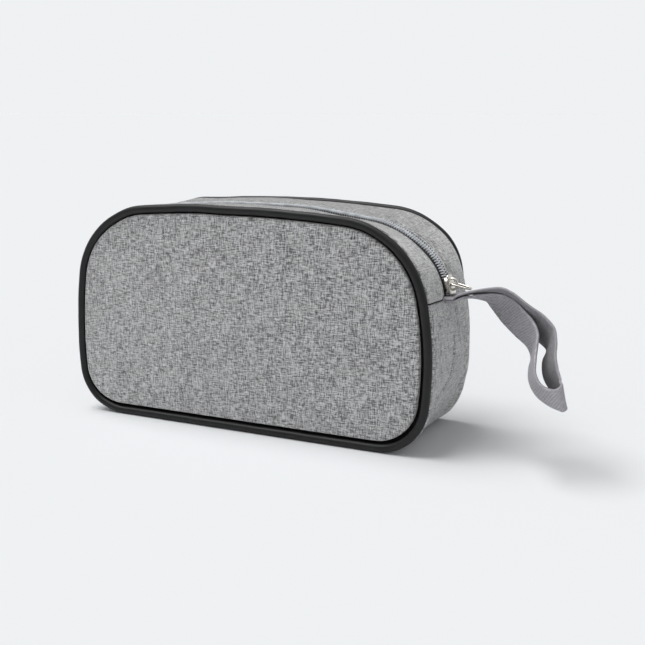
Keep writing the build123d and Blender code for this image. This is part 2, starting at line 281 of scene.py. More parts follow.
def outline_table(step=0.25 * MM):
    """Right half of the outline from the middle of the base to the middle of the top.

    Each row holds the distance walked, x, z, and the outward direction's x and z.
    """
    side = np.array([HALF_WIDTH - SIDE_RADIUS, WIDEST_HEIGHT])
    top = np.array([0.0, BEAD_TOP - TOP_RADIUS])
    corner = np.array([CORNER_CENTRE.x, CORNER_CENTRE.z])
    drop = WIDEST_HEIGHT - BEAD_RADIUS - BOTTOM_CORNER_RADIUS
    reach = math.sqrt((SIDE_RADIUS - BOTTOM_CORNER_RADIUS) ** 2 - drop**2)
    foot = side + [reach, -drop]
    turns = [math.atan2(*(b - a)[::-1]) for a, b in ((side, foot), (side, corner), (top, corner))]
    arcs = [
        (foot, BOTTOM_CORNER_RADIUS, -math.pi / 2, turns[0]),
        (side, SIDE_RADIUS, turns[0], turns[1]),
        (corner, TOP_CORNER_RADIUS, turns[1], turns[2]),
        (top, TOP_RADIUS, turns[2], math.pi / 2),
    ]
    rows = [(x, x, BEAD_RADIUS, 0.0, -1.0) for x in np.arange(0, foot[0], step)]
    walked = foot[0]
    for centre, radius, start, end in arcs:
        count = max(2, math.ceil(radius * abs(end - start) / step))
        for angle in np.linspace(start, end, count, endpoint=False):
            out = np.array([math.cos(angle), math.sin(angle)])
            place = centre + radius * out
            rows.append((walked + radius * abs(angle - start), *place, *out))
        walked += radius * abs(end - start)
    rows.append((walked, 0.0, BEAD_TOP, 0.0, 1.0))
    return np.array(rows)


OUTLINE = outline_table()
OUTLINE_LENGTH = 2 * OUTLINE[-1, 0]


def outline_at(distance, grow=0.0):
    """x and z at distances round the outline from the middle of the base, moved outwards."""
    walked = np.mod(distance, OUTLINE_LENGTH)
    left = walked > OUTLINE_LENGTH / 2
    walked = np.where(left, OUTLINE_LENGTH - walked, walked)
    x, z, out_x, out_z = (np.interp(walked, OUTLINE[:, 0], column) for column in OUTLINE.T[1:])
    x = x + grow * out_x
    z = z + grow * out_z
    return np.where(left, -x, x), z


def distance_at(height, grow):
    """Distance round the outline to the right-hand point at a height, at a level over the line."""
    return float(np.interp(height, OUTLINE[:, 2] + grow * OUTLINE[:, 4], OUTLINE[:, 0]))


SEAM_RIGHT = distance_at(SEAM_HEIGHT, GUSSET_RISE)
SEAM_LEFT = OUTLINE_LENGTH - SEAM_RIGHT

# Ends of the tapes and linings beside the zip, which run under both seams
STRIP_LAYER_ENDS = (SEAM_RIGHT + 1.5 * MM, SEAM_LEFT - 1.5 * MM)


# Meshes


def new_object(name, data):
    """Object at the origin, put into the scene."""
    made = bpy.data.objects.new(name, data)
    bpy.context.scene.collection.objects.link(made)
    return made


def new_piece(name, vertices, faces, corner_uvs=None):
    """Mesh object at the origin, smooth shaded, with a UV map for the weave."""
    mesh = bpy.data.meshes.new(name)
    mesh.from_pydata([tuple(v) for v in vertices], [], [tuple(f) for f in faces])
    if corner_uvs is not None:
        layer = mesh.uv_layers.new(name="weave")
        layer.data.foreach_set("uv", np.asarray(corner_uvs, np.float32).ravel())
    mesh.validate()
    mesh.shade_smooth()
    return new_object(name, mesh)


def grid_corners(rows, columns, wrap_rows=False, wrap_columns=False):
    """Rows and columns of the four corners of each face of a grid."""
    i, j = np.meshgrid(
        np.arange(rows if wrap_rows else rows - 1),
        np.arange(columns if wrap_columns else columns - 1), indexing="ij",
    )
    corner_rows = np.stack([i, i + 1, i + 1, i], -1).reshape(-1, 4)
    corner_columns = np.stack([j, j, j + 1, j + 1], -1).reshape(-1, 4)
    return corner_rows, corner_columns


def grid_piece(name, points, uvs, wrap_rows=False, wrap_columns=False, capped=False):
    """Piece from a grid of points, joined into a tube or ring where it wraps, capped at its ends."""
    rows, columns = points.shape[:2]
    i, j = grid_corners(rows, columns, wrap_rows, wrap_columns)
    faces = ((i % rows) * columns + j % columns).tolist()
    corner_uvs = uvs[i, j].reshape(-1, 2)
    if capped:
        faces.append(list(range(columns)))
        faces.append(list(range((rows - 1) * columns, rows * columns)))
        ends = [uvs[0, :columns], uvs[rows - 1, :columns]]
        corner_uvs = np.concatenate([corner_uvs, *ends])
    piece = new_piece(name, points.reshape(-1, 3), faces, corner_uvs)
    face_outwards(piece)
    return piece


def face_outwards(piece):
    """Turns every face of a closed mesh outwards."""
    shape = bmesh.new()
    shape.from_mesh(piece.data)
    bmesh.ops.recalc_face_normals(shape, faces=shape.faces)
    shape.to_mesh(piece.data)
    shape.free()


def running_length(points):
    """Distance along a row of points, from 0 at the first."""
    steps = np.linalg.norm(np.diff(points, axis=0), axis=1)
    return np.concatenate([[0.0], np.cumsum(steps)])


# How much of a band's way across its weave counts, which widens the threads that run along it
WEAVE_ACROSS = 0.7


def swept_band(name, profile, start, end, step, lift, edge=None):
    """Closed band: a profile of (across, level) points carried round the outline.

    lift gives how far the cloth stands out at a distance and a place across, and edge how far
    the band's start and end move along the outline there.
    """
    across, level = np.array(profile).T
    ring = end - start >= OUTLINE_LENGTH - 0.5 * step
    count = math.ceil((end - start) / step) + 1
    distance = np.linspace(start, end, count)[:, None] + 0 * across
    if ring:
        distance = distance[:-1]
    if edge is not None:
        share = (distance - start) / (end - start)
        distance = distance + edge(across) * (2 * share - 1) ** 5
    sideways = 0 * distance + across
    height = level + lift(distance, sideways)
    x, z = outline_at(distance, height)
    points = np.stack([x, sideways, z], -1)
    loop = np.append(across, across[0]), np.append(level, level[0])
    around = running_length(np.stack(loop, -1))
    along = np.append(distance[:, 0], end) if ring else distance[:, 0]
    uvs = np.stack(np.meshgrid(WEAVE_ACROSS * around, along), -1)
    return grid_piece(name, points, uvs, ring, True, not ring)


def arc_points(centre, radius, start, end, count):
    """Points (across, level) on an arc, angles in degrees."""
    angles = np.radians(np.linspace(start, end, count))
    return [(centre[0] + radius * math.cos(a), centre[1] + radius * math.sin(a)) for a in angles]


def between(start, end, count):
    """Points between two places, without the last."""
    return [tuple(p) for p in np.linspace(start, end, count, endpoint=False)]


def mirrored_copy(piece, name):
    """The same piece on the other side of the middle plane."""
    mesh = piece.data.copy()
    mesh.transform(Matrix.Scale(-1, 4, Vector((0, 1, 0))))
    mesh.flip_normals()
    return new_object(name, mesh)


def dressed_band(name, slot, node, profile, ends, step, lift, edge=None):
    """Band round the outline that stands for one of the pouch's solids."""
    band = swept_band(name, profile, *ends, step, lift, edge)
    finish_piece(band, "pouch", slot, node)


def finish_piece(piece, body, slot, *nodes, material=None):
    """Gives a piece its material, made for its slot unless one is given, its body, and hides the solids that it
    stands for.
    """
    piece.data.materials.clear()
    piece.data.materials.append(material or material_for(slot))
    if body is not None:
        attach(piece, body)
    if nodes:
        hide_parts(*nodes)


# Soft shapes


def smooth_step(low, high, value):
    """0 below low, 1 above high and a smooth rise between."""
    share = np.clip((value - low) / (high - low), 0, 1)
    return share * share * (3 - 2 * share)


def hump(value, start, full, fading, end):
    """0 up to start, 1 from full to fading and 0 from end on, given in millimetres."""
    rise = smooth_step(start * MM, full * MM, value)
    return rise * (1 - smooth_step(fading * MM, end * MM, value))


def bulge(value, middle, width):
    """1 at a middle value, and a soft fall to 0 on both sides of it."""
    return np.exp(-(((value - middle) / width) ** 2))


def ripple(distance, sideways, depth):
    """Slow uneven waves, as hand-sewn cloth has."""
    a = np.sin(distance * 2 * math.pi / (47 * MM) + 1.1) * np.cos(sideways * 52 + 0.4)
    b = np.sin(distance * 2 * math.pi / (29 * MM) + 2.3 + sideways * 61)
    c = np.cos(distance * 2 * math.pi / (83 * MM) + 0.7 - sideways * 33)
    return depth * (0.45 * a + 0.25 * b + 0.4 * c)


def fold_depth(y, z, folds):
    """How far the side's creases and ridges move the cloth outwards."""
    low = 0 * y
    high = 0 * y
    for start, end, depth, width in folds:
        a = np.array(start) * MM
        run = np.array(end) * MM - a
        share = np.clip(((y - a[0]) * run[0] + (z - a[1]) * run[1]) / (run @ run), 0, 1)
        away = np.hypot(y - a[0] - share * run[0], z - a[1] - share * run[1])
        moved = depth * MM * bulge(away, 0, width * MM)
        low = np.minimum(low, moved)
        high = np.maximum(high, moved)
    return low + high


def zip_sag(distance, sideways):
    """How far the cloth beside the zip hangs below the panels' outline: most at the shoulders."""
    walked = np.mod(distance, OUTLINE_LENGTH)
    away = np.abs(walked - OUTLINE_LENGTH / 2)
    flat = TOP_SAG * (1 - smooth_step(95 * MM, 121 * MM, away))
    deep = np.where(walked > OUTLINE_LENGTH / 2, LEFT_SHOULDER_SAG, RIGHT_SHOULDER_SAG)
    lowest = 8 * MM
    hang = np.clip((np.abs(sideways) - lowest) / (GUSSET_EDGE - lowest), 0, 1)
    return (flat + deep * hump(away, *SHOULDERS)) * (1 - hang**2)


def corner_sag(distance, sideways):
    """How far the gusset draws in between the panels at the bottom corners."""
    z = outline_at(distance)[1]
    middle = 1 - smooth_step(18 * MM, GUSSET_EDGE, np.abs(sideways))
    return CORNER_SAG * hump(z, *LOW_CORNERS) * middle


def back_draw(distance, sideways):
    """How far the back edge is drawn in at the pouch's ends."""
    z = outline_at(distance)[1]
    deep = BACK_DRAW + LOW_BACK_DRAW * (1 - smooth_step(20 * MM, 55 * MM, z))
    return deep * hump(z, *BACK_ENDS) * smooth_step(26 * MM, 37 * MM, sideways)


def left_end(distance, sideways):
    """How far the left end stands out at its corners and shoulders and falls in between them."""
    x, z = outline_at(distance)
    end = LEFT_SWELL * (bulge(z, 103 * MM, 17 * MM) + bulge(z, 14 * MM, 15 * MM))
    end = end - LEFT_FALL * bulge(z, 58 * MM, 20 * MM)
    end = end * smooth_step(40 * MM, 80 * MM, -x) * smooth_step(2 * MM, 9 * MM, z)
    back = smooth_step(-20 * MM, 20 * MM, sideways)
    top = smooth_step(108 * MM, 122 * MM, z) * hump(x, *LEFT_TOP)
    shoulder = smooth_step(90 * MM, 105 * MM, z) * bulge(x, -72 * MM, 11 * MM)
    return end + LEFT_TOP_RISE * ((1 - back) * top + back * shoulder)


def slack(distance, sideways):
    """How far the soft body leaves the panels' straight form, as a level over the outline."""
    sags = zip_sag(distance, sideways) + corner_sag(distance, sideways)
    return left_end(distance, sideways) - sags - back_draw(distance, sideways)


def seam_opening(across):
    """How far the side seam opens for the strap between its two cloths, from its middle."""
    return SEAM_GAP + STRAP_OPENING * (1 - smooth_step(9.8 * MM, 13 * MM, np.abs(across)))


def seam_lean(across):
    """How far the side seam rises towards the front."""
    return -SEAM_LEAN * across


def seam_tuck(distance):
    """How far a cloth's end turns down into a side seam."""
    away = np.minimum(np.abs(distance - SEAM_RIGHT), np.abs(distance - SEAM_LEFT))
    return SEAM_TUCK * (1 - smooth_step(0, 1.6 * MM, away))


def gusset_lift(distance, sideways):
    """Outward shape of the base gusset: flat underneath, soft and creased at its ends."""
    x, z = outline_at(distance, GUSSET_RISE)
    to_edge = GUSSET_EDGE - np.abs(sideways)
    waves = smooth_step(0, 6 * MM, to_edge) * ripple(distance, sideways, GUSSET_WAVES)
    folds = fold_depth(np.where(x > 0, sideways, -sideways), z, SIDE_FOLDS)
    soft = waves + smooth_step(0, 2.5 * MM, to_edge) * folds
    upright = smooth_step(8 * MM, 30 * MM, z)
    return upright * soft - seam_tuck(distance) + slack(distance, sideways)


def back_dip(distance, sideways):
    """How far the back strip lies below the top of the back piping."""
    x = outline_at(distance)[0]
    deep = BACK_DIP + RIGHT_BACK_DIP * hump(x, *RIGHT_BACK)
    deep = deep * smooth_step(-85 * MM, -50 * MM, x) * (1 - 0.5 * smooth_step(80 * MM, 100 * MM, x))
    return deep * smooth_step(19 * MM, 31 * MM, sideways)


def strip_lift(distance, sideways):
    """Outward shape of a zip strip: soft waves, a line of stitches that sinks in, ends tucked in."""
    inside = smooth_step(0, 8 * MM, GUSSET_EDGE - np.abs(sideways))
    waves = inside * ripple(distance + 11 * MM, sideways, STRIP_WAVES)
    sunk = STITCH_SINK * bulge(np.abs(sideways), STITCH_LINE, 0.7 * MM)
    down = sunk + seam_tuck(distance) + back_dip(distance, sideways)
    return waves - down + slack(distance, sideways)


# Materials


class Wire:
    """Output of a node. Arithmetic on it adds maths nodes to its tree."""

    def __init__(self, socket):
        self.socket = socket
        self.tree = socket.id_data

    def __add__(self, other):
        return maths("ADD", self, other)

    def __sub__(self, other):
        return maths("SUBTRACT", self, other)

    def __rsub__(self, other):
        return maths("SUBTRACT", other, self)

    def __mul__(self, other):
        return maths("MULTIPLY", self, other)

    def __truediv__(self, other):
        return maths("DIVIDE", self, other)


def link_or_set(tree, socket, value):
    """Links a wire or another node's socket to a socket; anything else is the socket's value."""
    if isinstance(value, Wire):
        value = value.socket
    if isinstance(value, bpy.types.NodeSocket):
        tree.links.new(value, socket)
    else:
        socket.default_value = value


def shader_node(tree, kind, inputs=None, **settings):
    """New node with its settings and inputs."""
    made = tree.nodes.new(kind)
    for key, value in settings.items():
        setattr(made, key, value)
    for key, value in (inputs or {}).items():
        link_or_set(tree, made.inputs[key], value)
    return made


def maths(operation, first, second=0.0):
    """Wire from a maths node; at least one of its two inputs is a wire."""
    tree = (first if isinstance(first, Wire) else second).tree
    made = shader_node(tree, "ShaderNodeMath", {0: first, 1: second}, operation=operation)
    return Wire(made.outputs[0])


def combine(x, y, z=0.0):
    """A place made of three values."""
    return Wire(shader_node(x.tree, "ShaderNodeCombineXYZ", {0: x, 1: y, 2: z}).outputs[0])


def noise(place, scale, detail=2.0, roughness=0.5):
    """Value of a noise texture."""
    inputs = {"Vector": place, "Scale": scale, "Detail": detail, "Roughness": roughness}
    return Wire(shader_node(place.tree, "ShaderNodeTexNoise", inputs).outputs[0])


def fibres(u, v, wide, long, seed=0.0, detail=2.0):
    """Noise with one spacing across and another along."""
    return noise(combine(u / wide, v / long, seed), 1.0, detail)


def spread(value, low, high, to_low=0.0, to_high=1.0):
    """A value carried from one range to another and held inside it."""
    inputs = {
        "Value": value, "From Min": low, "From Max": high, "To Min": to_low, "To Max": to_high,
    }
    return Wire(shader_node(value.tree, "ShaderNodeMapRange", inputs).outputs[0])


def mix_colours(share, first, second):
    """A colour between two colours."""
    inputs = {0: share, 6: (*first, 1.0), 7: (*second, 1.0)}
    return Wire(shader_node(share.tree, "ShaderNodeMix", inputs, data_type="RGBA").outputs[2])


def relief(height, depth, strength):
    """Normals of a surface raised by a height from 0 to 1 times a depth in metres."""
    inputs = {"Height": height, "Distance": depth, "Strength": strength}
    return Wire(shader_node(height.tree, "ShaderNodeBump", inputs).outputs[0])


def tinted(colour, factor):
    """A colour made paler or darker."""
    return [factor * part for part in colour]


def new_material(name):
    """Material with a principled surface, and its shader."""
    material = bpy.data.materials.new(name)
    material.use_nodes = True
    return material, material.node_tree.nodes["Principled BSDF"]


def set_surface(shader, **inputs):
    """Sets a shader's inputs, which are named in lower case with underscores."""
    for key, value in inputs.items():
        name = key.replace("_", " ").title().replace("Ior", "IOR")
        link_or_set(shader.id_data, shader.inputs[name], value)


def weave_places(tree):
    """The cloth's own u and v, in metres."""
    place = shader_node(tree, "ShaderNodeUVMap", uv_map="weave").outputs[0]
    parts = shader_node(tree, "ShaderNodeSeparateXYZ", {0: place})
    return Wire(parts.outputs[0]), Wire(parts.outputs[1])


# Streaks of the cloth: width and length in threads, seed of the noise, and depth of the tone
STREAKS = ((1.5, 16.0, 3.1, 0.42), (13.0, 1.4, 5.7, 0.34))

# Values of the noise that give the darkest and the palest yarn, and depth of the broad clouds
YARN_RANGE = (0.395, 0.605)
CLOUD_DEPTH = 0.06


def melange_cloth():
    """Melange plain weave: uneven dark and pale yarns both ways, over and under each other."""
    material, shader = new_material("melange_cloth")
    u, v = weave_places(shader.id_data)
    thread = sizes().cloth_thread
    slub = 6.0 * thread
    warp = fibres(u, v, thread, 1.5 * slub, 0.0, 1.5)
    weft = fibres(u, v, slub, thread, 7.3, 1.5)
    wave_u = maths("SINE", u * (math.pi / thread))
    wave_v = maths("SINE", v * (math.pi / thread))
    over = spread(wave_u * wave_v, -0.2, 0.2)
    yarn = weft + over * (warp - weft)
    cloud = noise(combine(u, v), 45.0)
    shade = spread(yarn, *YARN_RANGE) + spread(cloud, 0.3, 0.7, -CLOUD_DEPTH, CLOUD_DEPTH)
    for wide, long, seed, depth in STREAKS:
        streak = fibres(u, v, wide * thread, long * thread, seed, 1.0)
        shade = shade + spread(streak, 0.25, 0.75, -depth, depth)
    height = maths("ABSOLUTE", wave_u) * over + maths("ABSOLUTE", wave_v) * (1.0 - over)
    set_surface(
        shader, base_color=mix_colours(shade, colours().yarn_dark, colours().yarn_light),
        roughness=0.92, sheen_weight=1.0, normal=relief(height, 0.18 * MM, 0.6),
    )
    return material


# How far the u of the webbing's reverse face is moved, which tells that face from the other, so that painted shade
# can be put on it
REVERSE_SHIFT = 100 * MM


def ribbed_weave(name, colour, rib, lean, edge):
    """Narrow woven band: slanted ribs, a selvedge beyond edge painted paler as a highlight, and painted shade on
    its reverse face.
    """
    material, shader = new_material(name)
    contrast = 0.35
    u, v = weave_places(shader.id_data)
    # The reverse face gets a painted shade: its tone is lowered further down
    shaded_reverse = maths("GREATER_THAN", u, REVERSE_SHIFT / 2)
    u = u - shaded_reverse * REVERSE_SHIFT
    rows = maths("SINE", (v + u * lean) * (2 * math.pi / rib))
    ends = maths("SINE", u * (2 * math.pi / (0.9 * rib)))
    # The selvedge is the band's edge with flatter ribs; its paler tone is a painted highlight along the edges
    selvedge = spread(maths("ABSOLUTE", u), edge - 0.2 * MM, edge + 0.2 * MM)
    height = spread(rows + ends * 0.35, -1.2, 1.2) * (1.0 - selvedge * 0.7)
    fibre = spread(fibres(u, v, 0.4 * MM, 2.5 * MM), 0.3, 0.7, 0.0, 1.0 - contrast)
    # Tone: ribs and fibres, the selvedge painted paler as a highlight, and the reverse face painted darker as
    # shade
    tone = height * contrast + fibre + selvedge * 0.25 - shaded_reverse * 0.35
    set_surface(
        shader, base_color=mix_colours(tone, tinted(colour, 0.55), tinted(colour, 1.45)),
        roughness=0.85, sheen_weight=0.1, normal=relief(height, 0.25 * MM, 0.7),
    )
    return material


def mottled(name, dark, pale, tone, bump, tones=(0.3, 0.7), grain=None, rough=None, **surface):
    """Surface in two tones over a fine relief.

    tone and grain are a noise's scale, detail and roughness, where grain is the relief's if it
    isn't the tone's. bump is the relief's depth and strength, tones are the noise's values that
    give the dark and the pale colour, and rough is the roughness that goes with each.
    """
    material, shader = new_material(name)
    place = Wire(shader_node(shader.id_data, "ShaderNodeTexCoord").outputs["Object"])
    value = noise(place, *tone)
    if rough is not None:
        surface["roughness"] = spread(value, 0.3, 0.7, *rough)
    height = value if grain is None else noise(place, *grain)
    colour = mix_colours(spread(value, *tones), dark, pale)
    set_surface(shader, base_color=colour, normal=relief(height, *bump), **surface)
    return material


def mottled_looks():
    """What the mottled materials are made of, by their names."""
    vinyl = colours().vinyl
    coil = colours().coil
    return {
        "piping_vinyl": {
            "dark": vinyl, "pale": tinted(vinyl, 1.7), "tone": (120.0, 3.0, 0.6),
            "tones": (0.35, 0.75), "grain": (1900.0, 2.0, 0.6), "bump": (0.05 * MM, 0.5),
            "rough": (0.40, 0.55), "specular_ior_level": 0.3,
        },
        "zip_coil": {
            "dark": tinted(coil, 0.75), "pale": tinted(coil, 1.25), "tone": (260.0, 3.0, 0.5),
            "grain": (3000.0, 2.0, 0.5), "bump": (0.02 * MM, 0.4),
            "roughness": 0.38, "specular_ior_level": 0.6,
        },
        "nickel": {
            "dark": (0.60, 0.57, 0.52), "pale": (0.86, 0.83, 0.77), "tone": (900.0, 4.0, 0.7),
            "tones": (0.0, 1.0), "bump": (0.02 * MM, 0.3), "rough": (0.16, 0.30), "metallic": 1.0,
        },
    }


# Hidden or small stuffs: pale and dark colour, scale of their noise, and depth of their relief
PLAIN_STUFFS = {
    "foam": ((0.82, 0.81, 0.77), (0.62, 0.61, 0.58), 1500.0, 0.3 * MM),
    "lining": ((0.10, 0.105, 0.11), (0.06, 0.06, 0.065), 2600.0, 0.08 * MM),
    "binding_tape": ((0.05, 0.05, 0.055), (0.025, 0.025, 0.03), 2200.0, 0.1 * MM),
    "piping_cord": ((0.75, 0.74, 0.70), (0.5, 0.49, 0.46), 1200.0, 0.3 * MM),
    "stitch_thread": ((0.38, 0.39, 0.40), (0.20, 0.20, 0.21), 4000.0, 0.05 * MM),
}


def new_look(name):
    """The material of a slot or of the stitches' thread."""
    if name == "melange_cloth":
        return melange_cloth()
    if name == "webbing":
        return ribbed_weave(name, colours().webbing, 1.5 * MM, 0.55, 9 * MM)
    # The zip tape is near black, which paints the deep shade in the narrow gaps beside the coil
    if name == "zip_tape":
        return ribbed_weave(name, (0.009, 0.009, 0.01), 0.8 * MM, 0.0, 40 * MM)
    if name in PLAIN_STUFFS:
        pale, dark, scale, depth = PLAIN_STUFFS[name]
        return mottled(name, dark, pale, (scale, 3.0, 0.6), (depth, 0.6), roughness=0.9)
    return mottled(name, **mottled_looks()[name])


made_materials = {}


def material_for(name):
    """The material of one of the record's slots or of the stitches' thread, made once."""
    if name not in made_materials:
        made_materials[name] = new_look(name)
    return made_materials[name]


# Panels

# Groove beside the piping, the edge that turns down into it, and how far the edge is moved
# along x and z
GROOVE = 1.3 * MM
RIM_WIDTH = 0.9 * MM
RIM_PUFF = 0.7 * MM
RIM_DROP = PANEL_FACE + RIM_PUFF - FLANGE_PLANE
PANEL_SHIFT = (-0.8 * MM, 0.45 * MM)


def panel_grid(side, columns=76, rows=44):
    """Places of a panel's cloth inside its turned edge: x, z and share of the way to that edge.

    The grid is a rectangle whose edge is bent to the outline.
    """
    inset = -BEAD_RADIUS - GROOVE - RIM_WIDTH
    foot = distance_at(BEAD_RADIUS + 0.3 * BOTTOM_CORNER_RADIUS, inset)
    shoulder = distance_at(BEAD_TOP - 0.3 * TOP_CORNER_RADIUS, inset)
    half = OUTLINE_LENGTH / 2
    a, b = np.meshgrid(np.linspace(-1, 1, columns + 1), np.linspace(-1, 1, rows + 1), indexing="ij")
    rim = np.maximum(np.maximum(np.abs(a), np.abs(b)), 1e-9)
    right = foot + (b / rim + 1) / 2 * (shoulder - foot)
    top = shoulder + (1 - a / rim) * (half - shoulder)
    distance = np.where(
        np.abs(a) >= np.abs(b), np.where(a > 0, right, OUTLINE_LENGTH - right),
        np.where(b > 0, top, a / rim * foot),
    )
    x, z = outline_at(distance, inset + slack(distance, side * BEAD_PLANE))
    middle = (BEAD_TOP + BEAD_RADIUS) / 2
    shift = smooth_step(0.75, 1.0, rim)
    x = x + PANEL_SHIFT[0] * shift
    z = z + PANEL_SHIFT[1] * shift
    return x * rim, middle + (z - middle) * rim, rim


# Pressure and stiffness of a panel's cloth while it swells
SWELLING = {
    "vertex_group_mass": "held", "quality": 6, "mass": 0.02, "tension_stiffness": 25,
    "compression_stiffness": 25, "bending_stiffness": 2, "use_pressure": True,
    "uniform_pressure_force": 3,
}


def swollen(columns_x, rows_z, rim):
    """Share of the panel's crown at each place: cloth held at its rim and blown out from behind."""
    points = np.stack([columns_x, 0 * columns_x, rows_z], -1)
    flat = grid_piece("swelling", points, np.stack([columns_x, rows_z], -1))
    held = flat.vertex_groups.new(name="held")
    held.add(np.flatnonzero(rim.ravel() > 1 - 1e-6).tolist(), 1.0, "REPLACE")
    cloth = flat.modifiers.new("Cloth", "CLOTH")
    for key, value in SWELLING.items():
        setattr(cloth.settings, key, value)
    cloth.settings.effector_weights.gravity = 0
    cloth.point_cache.frame_start = 1
    cloth.point_cache.frame_end = sizes().swell_frames
    scene = bpy.context.scene
    for number in range(1, sizes().swell_frames + 1):
        scene.frame_set(number)
    blown = flat.evaluated_get(bpy.context.evaluated_depsgraph_get())
    out = np.abs([v.co.y for v in blown.data.vertices]).reshape(rim.shape)
    scene.frame_set(1)
    bpy.data.objects.remove(flat)
    return out / max(out.max(), 1e-9)


def rim_rings(inner, side):
    """Rings of points that turn a panel's edge over in a quarter round and down into the seam."""
    ahead = np.roll(inner, -1, axis=0) - np.roll(inner, 1, axis=0)
    out = np.stack([ahead[:, 2], 0 * ahead[:, 0], -ahead[:, 0]], -1)
    out /= np.linalg.norm(out, axis=1)[:, None]
    turns = np.radians([18, 36, 54, 72, 90])
    reaches = [*RIM_WIDTH * np.sin(turns), RIM_WIDTH]
    drops = [*RIM_WIDTH * (1 - np.cos(turns)), RIM_DROP + 0.4 * MM]
    return [inner + reach * out - [0, side * drop, 0] for reach, drop in zip(reaches, drops)]


def dressed_panel(name, side):
    """A padded panel: crowned cloth whose edge turns over and down into the piped seam.

    side is -1 for the front and 1 for the back.
    """
    x, z, rim = panel_grid(side)
    dome = 1 - rim**2
    share = swollen(x, z, rim)
    soft = ripple(x, z - 20 * MM, PANEL_WAVES) * smooth_step(0, 0.25, 1 - rim)
    y = side * (PANEL_FACE + RIM_PUFF + sizes().panel_crown * share + soft)
    vertices = np.stack([x, y, z], -1).reshape(-1, 3)
    columns, rows = rim.shape
    number = np.arange(columns * rows).reshape(columns, rows)
    i, j = grid_corners(columns, rows)
    faces = number[i, j]
    edge = np.concatenate([number[:, 0], number[-1, 1:], number[-2::-1, -1], number[0, -2:0:-1]])
    rings = rim_rings(vertices[edge], side)
    ring_numbers = len(vertices) + np.arange(len(rings) * len(edge)).reshape(len(rings), -1)
    loops = np.vstack([edge, ring_numbers])
    i, j = grid_corners(len(loops), len(edge), wrap_columns=True)
    faces = np.concatenate([faces, loops[i, j % len(edge)]])
    vertices = np.concatenate([vertices, *rings])
    piece = new_piece(name, vertices, faces.tolist(), vertices[faces.ravel()][:, [2, 0]])
    face_outwards(piece)
    turn_towards(piece, Vector((0, side, 0)))
    wall = piece.modifiers.new("Wall", "SOLIDIFY")
    wall.thickness = 1.0 * MM
    wall.offset = -1
    apply_modifiers(piece)
    return piece


def turn_towards(piece, direction):
    """Flips a sheet whose faces look away from a direction on the whole."""
    total = sum((p.normal * p.area for p in piece.data.polygons), Vector())
    if total.dot(direction) < 0:
        piece.data.flip_normals()


def apply_modifiers(piece):
    """Replaces a piece's mesh by what its modifiers make of it."""
    shown = piece.evaluated_get(bpy.context.evaluated_depsgraph_get())
    made = bpy.data.meshes.new_from_object(shown)
    piece.modifiers.clear()
    piece.data = made


# Gusset, zip strips and piping


def edge_place(side):
    """How far out a cloth's edge is: it swells over the front piping. side is -1 or 1."""
    return GUSSET_EDGE + (FRONT_PUFF if side < 0 else 0)


def turned_edge(side, outer):
    """Points of a cloth's edge from deep in the seam up and over its round, outer or inner face."""
    radius = GUSSET_ROUND if outer else GUSSET_ROUND - GUSSET_CLOTH
    edge = GUSSET_EDGE - (0 if outer else GUSSET_CLOTH)
    centre = (edge_place(side) - GUSSET_ROUND, GUSSET_RISE - GUSSET_ROUND)
    points = [(edge, -SEAM_DEPTH), (edge, -0.8 * MM)]
    points += arc_points(centre, radius, 0, 90, 7)
    return [(side * across, level) for across, level in points]


def base_gusset_profile():
    """Section of the base gusset's cloth, right round its outer and inner faces."""
    front = edge_place(-1) - GUSSET_ROUND
    back = edge_place(1) - GUSSET_ROUND
    low = GUSSET_RISE - GUSSET_CLOTH
    outer = turned_edge(-1, True) + between((-front, GUSSET_RISE), (back, GUSSET_RISE), 60)[1:]
    outer += turned_edge(1, True)[::-1]
    inner = turned_edge(1, False) + between((back, low), (-front, low), 44)[1:]
    return outer + inner + turned_edge(-1, False)[::-1]


def strip_level(across):
    """Level of a zip strip's face: it comes down to its hem beside the zip."""
    down = GUSSET_RISE - TAPE_THICKNESS - HEM_THICKNESS
    return GUSSET_RISE - down * (1 - smooth_step(6 * MM, 15 * MM, abs(across)))


def zip_strip_profile(side):
    """Section of a zip strip: seam edge, face, folded hem along the zip and back under."""
    flat = edge_place(side) - GUSSET_ROUND
    low = GUSSET_RISE - GUSSET_CLOTH
    fold = HEM_THICKNESS / 2
    centre = (SLOT_HALF_WIDTH + fold, TAPE_THICKNESS + fold)
    hem = SLOT_HALF_WIDTH + HEM_WIDTH
    face = np.linspace(flat, centre[0], 34, endpoint=False)[1:]
    points = [(across, float(strip_level(across))) for across in face]
    points += arc_points(centre, fold, 90, 270, 7)
    points += between((centre[0] + 0.5 * MM, TAPE_THICKNESS), (hem, TAPE_THICKNESS), 6)
    points += [(hem, TAPE_THICKNESS), (hem, low)]
    points += between((hem + 0.5 * MM, low), (flat, low), 16)
    points = [(side * across, level) for across, level in points]
    return turned_edge(side, True) + points + turned_edge(side, False)[::-1]


def piping_profile(side):
    """Section of a piping: the round bead and the flange that is sewn into the seam."""
    bead = arc_points((-BEAD_PLANE, 0.0), BEAD_RADIUS, 12, 330, 26)
    points = [(-GUSSET_EDGE, -SEAM_DEPTH), (-GUSSET_EDGE, -0.6 * MM), *bead,
              (-FLANGE_PLANE, -SEAM_DEPTH)]
    return [(-side * across, level) for across, level in points]


def layer_profile(near, far, low, high, count=16):
    """Section of a flat inner layer from one place across to another."""
    top = between((near, high), (far, high), count)
    bottom = between((far, low), (near, low), count)
    return [*top, (far, high), *bottom, (near, low)]


def piping_lift(distance, sideways):
    """Small unevenness of the sewn piping, and where the soft body draws it in."""
    outside = smooth_step(0, BEAD_RADIUS, np.abs(sideways) - GUSSET_EDGE)
    waves = outside * ripple(distance * 1.7, np.abs(sideways), PIPING_WAVES)
    return waves + slack(distance, np.sign(sideways) * BEAD_PLANE)


